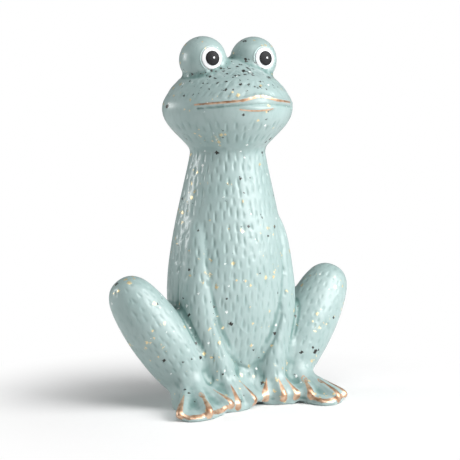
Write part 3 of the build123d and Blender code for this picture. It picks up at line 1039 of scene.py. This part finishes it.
def glaze(name):
    """Mint glaze that pools darker in hollows, with painted shade there too, and dark, gold and
    white flakes, and gilding.
    """
    paint = Paint(bpy.data.materials.new(name))
    tones = {tone: colour(screen) for tone, screen in colours.items()}
    cloud, runs = paint.noise("cloud"), paint.noise("runs")
    base = paint.mix(paint.change("cloud", cloud), tones["mint"], tones["pale"])
    # Hollows and dents turn towards the deep colour: partly glaze pooling, partly painted shade
    pool_and_shade = paint.math("MULTIPLY_ADD", paint.attribute("hollow"), pool_and_shade_gain, pool_start)
    pool_and_shade = paint.math("ADD", pool_and_shade, paint.change("runs", runs))
    base = paint.mix(pool_and_shade, base, tones["deep"])
    flecked = paint.attribute("flecks")
    small = paint.flakes("small_dark", paint.change("small_dark", flecked))
    large = paint.flakes("large_dark", paint.change("large_dark", flecked))
    dark = paint.math("MAXIMUM", small, large)
    cluster = paint.change("cluster", paint.noise("cluster"))
    cluster = paint.math("MULTIPLY", cluster, paint.change("gold_among_dark", flecked))
    gold = paint.flakes("gold", cluster)
    pale = paint.flakes("white", white_flakes)
    brush = paint.noise("brush")
    edge = paint.math("MULTIPLY_ADD", brush, *gilt_edge_noise)
    gilt = paint.change("gilt_edge", paint.math("ADD", paint.attribute("gilt"), edge))
    gilt = paint.math("MULTIPLY", gilt, paint.change("gilt_cover", brush))
    for flakes, tone in ((pale, "white_flake"), (dark, "dark_flake"), (gold, "gold_flake")):
        base = paint.mix(flakes, base, tones[tone])
    patches = paint.change("lustre", paint.noise("lustre"))
    lustre = paint.mix(patches, tones["lustre_shade"], tones["lustre_light"])
    shine = paint.math("MULTIPLY", gold, gold_metal), paint.math("MULTIPLY", gilt, gilt_metal)
    relief = paint.math("MULTIPLY", paint.noise("relief"), relief_share)
    chips = paint.math("MAXIMUM", dark, paint.math("MAXIMUM", gold, pale))
    height = paint.math("ADD", relief, paint.math("MULTIPLY", chips, flake_share))
    paint.bump(height, *glaze_bump)
    inputs = paint.shader.inputs
    paint.feed(inputs["Base Color"], paint.mix(gilt, base, lustre))
    paint.feed(inputs["Metallic"], paint.math("MAXIMUM", *shine))
    paint.feed(inputs["Roughness"], paint.change("roughness", runs))
    inputs["Coat Weight"].default_value = coat_weight
    inputs["Coat Roughness"].default_value = coat_roughness
    return paint.owner


def enamel(name):
    """Smooth enamel with a faint brushed unevenness."""
    main, other, roughness, specular = enamels[name]
    paint = Paint(bpy.data.materials.new(name))
    cloud = paint.noise(name)
    inputs = paint.shader.inputs
    share = paint.step(cloud, *enamel_noise)
    paint.feed(inputs["Base Color"], paint.mix(share, colour(main), colour(other)))
    rough = paint.step(cloud, *enamel_noise, roughness, roughness * enamel_roughening)
    paint.feed(inputs["Roughness"], rough)
    inputs["Specular IOR Level"].default_value = specular
    paint.bump(cloud, *enamel_bump)
    return paint.owner


def stand(name, data, azimuth, elevation, distance):
    """New lamp or camera that faces the figure from an azimuth and elevation."""
    turn, lift = math.radians(azimuth), math.radians(elevation)
    level = math.cos(lift)
    back = Vector((math.sin(turn) * level, -math.cos(turn) * level, math.sin(lift)))
    thing = bpy.data.objects.new(name, data)
    thing.location = Vector((0, axis_y, aim_height)) + back * distance
    thing.rotation_euler = (-back).to_track_quat("-Z", "Y").to_euler()
    bpy.context.scene.collection.objects.link(thing)
    return thing


def add_surroundings():
    """World that is white to the camera and a soft light to the figure."""
    paint = Paint(bpy.data.worlds.new("studio"), "Background")
    seen = paint.add("ShaderNodeLightPath").outputs["Is Camera Ray"]
    strength = {"Value": seen, "To Min": world_strength, "To Max": 1.0}
    strength = paint.add("ShaderNodeMapRange", strength).outputs["Result"]
    paint.feed(paint.shader.inputs["Strength"], strength)
    paint.feed(paint.shader.inputs["Color"], pure_white)
    bpy.context.scene.world = paint.owner


def add_lamps():
    """Soft square lamps."""
    for name, (azimuth, elevation, distance, size, power) in lamps.items():
        light = bpy.data.lights.new(name, "AREA")
        light.size = size
        light.energy = power
        stand(name, light, azimuth, elevation, distance)


def add_floor():
    """Pale paper that turns white away from the figure."""
    mesh = bpy.data.meshes.new("floor")
    signs = ((-1, -1), (1, -1), (1, 1), (-1, 1))
    corners = [(x * floor_half_width, y * floor_half_width, 0) for x, y in signs]
    mesh.from_pydata(corners, [], [(0, 1, 2, 3)])
    floor = bpy.data.objects.new("floor", mesh)
    bpy.context.scene.collection.objects.link(floor)
    paint = Paint(bpy.data.materials.new("floor_paper"))
    shade, light = ((grey, grey, grey, 1.0) for grey in floor_greys)
    inputs = paint.shader.inputs
    paint.feed(inputs["Base Color"], paint.mix(paint.noise("fibre"), shade, light))
    inputs["Roughness"].default_value = floor_roughness
    inputs["Specular IOR Level"].default_value = floor_specular
    glow = paint.add("ShaderNodeEmission", {"Color": pure_white, "Strength": 1.0}).outputs[0]
    distance = paint.add("ShaderNodeVectorMath", {0: paint.place()}, operation="LENGTH")
    share = paint.step(distance.outputs["Value"], *floor_fade)
    seen = paint.add("ShaderNodeLightPath").outputs["Is Camera Ray"]
    far = paint.math("MULTIPLY", seen, share)
    both = {0: far, 1: paint.shader.outputs[0], 2: glow}
    both = paint.add("ShaderNodeMixShader", both).outputs[0]
    paint.feed(paint.tree.nodes["Material Output"].inputs["Surface"], both)
    mesh.materials.append(paint.owner)


def add_camera():
    """Camera at the photograph's angle, with its framing."""
    lens = bpy.data.cameras.new("camera")
    lens.sensor_width = sensor_width
    lens.lens = sensor_width * focal_pixels / photo_size
    lens.shift_x = (photo_size / 2 - middle_column) / photo_size
    lens.shift_y = (middle_row - photo_size / 2) / photo_size
    lens.clip_start, lens.clip_end = clip_distances
    camera = stand("camera", lens, camera_azimuth, camera_elevation, camera_distance)
    bpy.context.scene.camera = camera
    bpy.context.scene.view_settings.view_transform = "Standard"


# The skin and what each of its faces belongs to
window = Window(voxel, max(radius for _, radius in fillets) * mm + margin * 2)
field = skin_field(window)
points, quads = window.surface(field)
points, quads = points.astype(np.float64), quads.astype(np.int64)
labels = tidied(labels_of(points[quads].mean(1)), quads)
normals = normals_of(points, quads)
# How hollow the skin is, which darkens the glaze as pooling and painted shade, less so along the
# mouth slit
bend = window.sample(blurred(field, curve_radius, voxel) - field, points)
hollow = np.clip(-bend / hollow_bend, 0, 1)
hollow *= 1 - slit_paleness * (np.abs(points[:, 2] - slit_height(points[:, 0])) < slit_half_width)

# Dents, strokes and the crease under the belly
chance = np.random.default_rng(dent_seed)
tree = BVHTree.FromPolygons(points.tolist(), quads.tolist())
mouth_lines = lip_lines(tree)
trunk = [name for name in body_nodes if name == "torso" or name.endswith("foreleg")]
seeds = dent_seeds(tree, labels, upright(trunk_rows), trunk, ray_start, chance)
seeds += dent_seeds(tree, labels, upright(neck_rows), ["head"], ray_start, chance)
leg_seeds = []
for word, side in sides.items():
    ends = (left_hip, left_shin_foot, left_knee)
    hip, shin_foot, knee = ((side * x, axis_y + y, z) for x, y, z in ends)
    for part, end in (("shin", shin_foot), ("thigh", hip)):
        leg = [f"{word}_{part}"]
        leg_seeds += dent_seeds(tree, labels, (end, knee), leg, leg_reach, chance)
strokes = []
for _ in range(stroke_rounds):
    strokes += dent_seeds(tree, labels, upright(stroke_rows), ["head"], ray_start, chance)
strokes = [(spot, along) for spot, along in strokes if spot[2] > stroke_from]
nearby = tree_of(points)
depth = np.zeros(len(points))
for some_seeds, scale, lean in (
    (seeds, 1.0, 0.0),
    (leg_seeds, leg_scale, 0.0),
    (strokes, stroke_scale, stroke_lean),
):
    deep = pressed(nearby, points, normals, some_seeds, scale, lean, chance)
    depth = np.maximum(depth, deep)
crease = [on_front(tree, x * mm, height * mm) for x, height in belly_crease]
far = line_distance(points, crease, [0.0] * len(crease))
deep = crease_depth * np.exp(-((far / crease_half_width) ** 2))
depth = np.maximum(depth, deep)
foot_lines = toe_lines(tree)
points = points - normals * depth[:, None]
normals = normals_of(points, quads)
# Dents deepen that darkening, as pooled glaze and painted shade
hollow = np.clip(hollow + depth / dent_depth * dent_pool_and_shade, 0, 1)

# Gilding and dark flakes
x, y, z = points.T
gilt = np.full(len(points), no_gilt)
on_lips = (np.abs(z - mouth_height) < mouth_gilt_reach) & (y < axis_y)
for lines, near in ((mouth_lines, on_lips), (foot_lines, z < foot_top)):
    for line, half_widths in lines:
        inside = -line_distance(points[near], line, half_widths) / mm
        gilt[near] = np.maximum(gilt[near], inside)
flecks = smooth_step(fleck_from, fleck_from + fleck_blend, z)
flecks *= smooth_step(0, fleck_depth, axis_y - y)
flecks *= 1 - (1 - fleck_thinnest) * smooth_step(*fleck_side, x)
attributes = {"hollow": hollow, "gilt": gilt, "flecks": flecks}

# The pieces and their materials
pieces = {}
for place, node in enumerate(body_nodes):
    patch = quads[labels == place]
    pieces[node] = skin_piece(node, window, field, points, patch, normals, attributes)
for word in sides:
    pieces |= eye(word)
materials = {"glaze": glaze("mint_glaze"), "gilded_glaze": glaze("gilded_mint_glaze")}
materials |= {name: enamel(name) for name in enamels}
for node, piece in pieces.items():
    piece.data.materials.append(materials[slots[node]])

add_surroundings()
add_lamps()
add_floor()
add_camera()
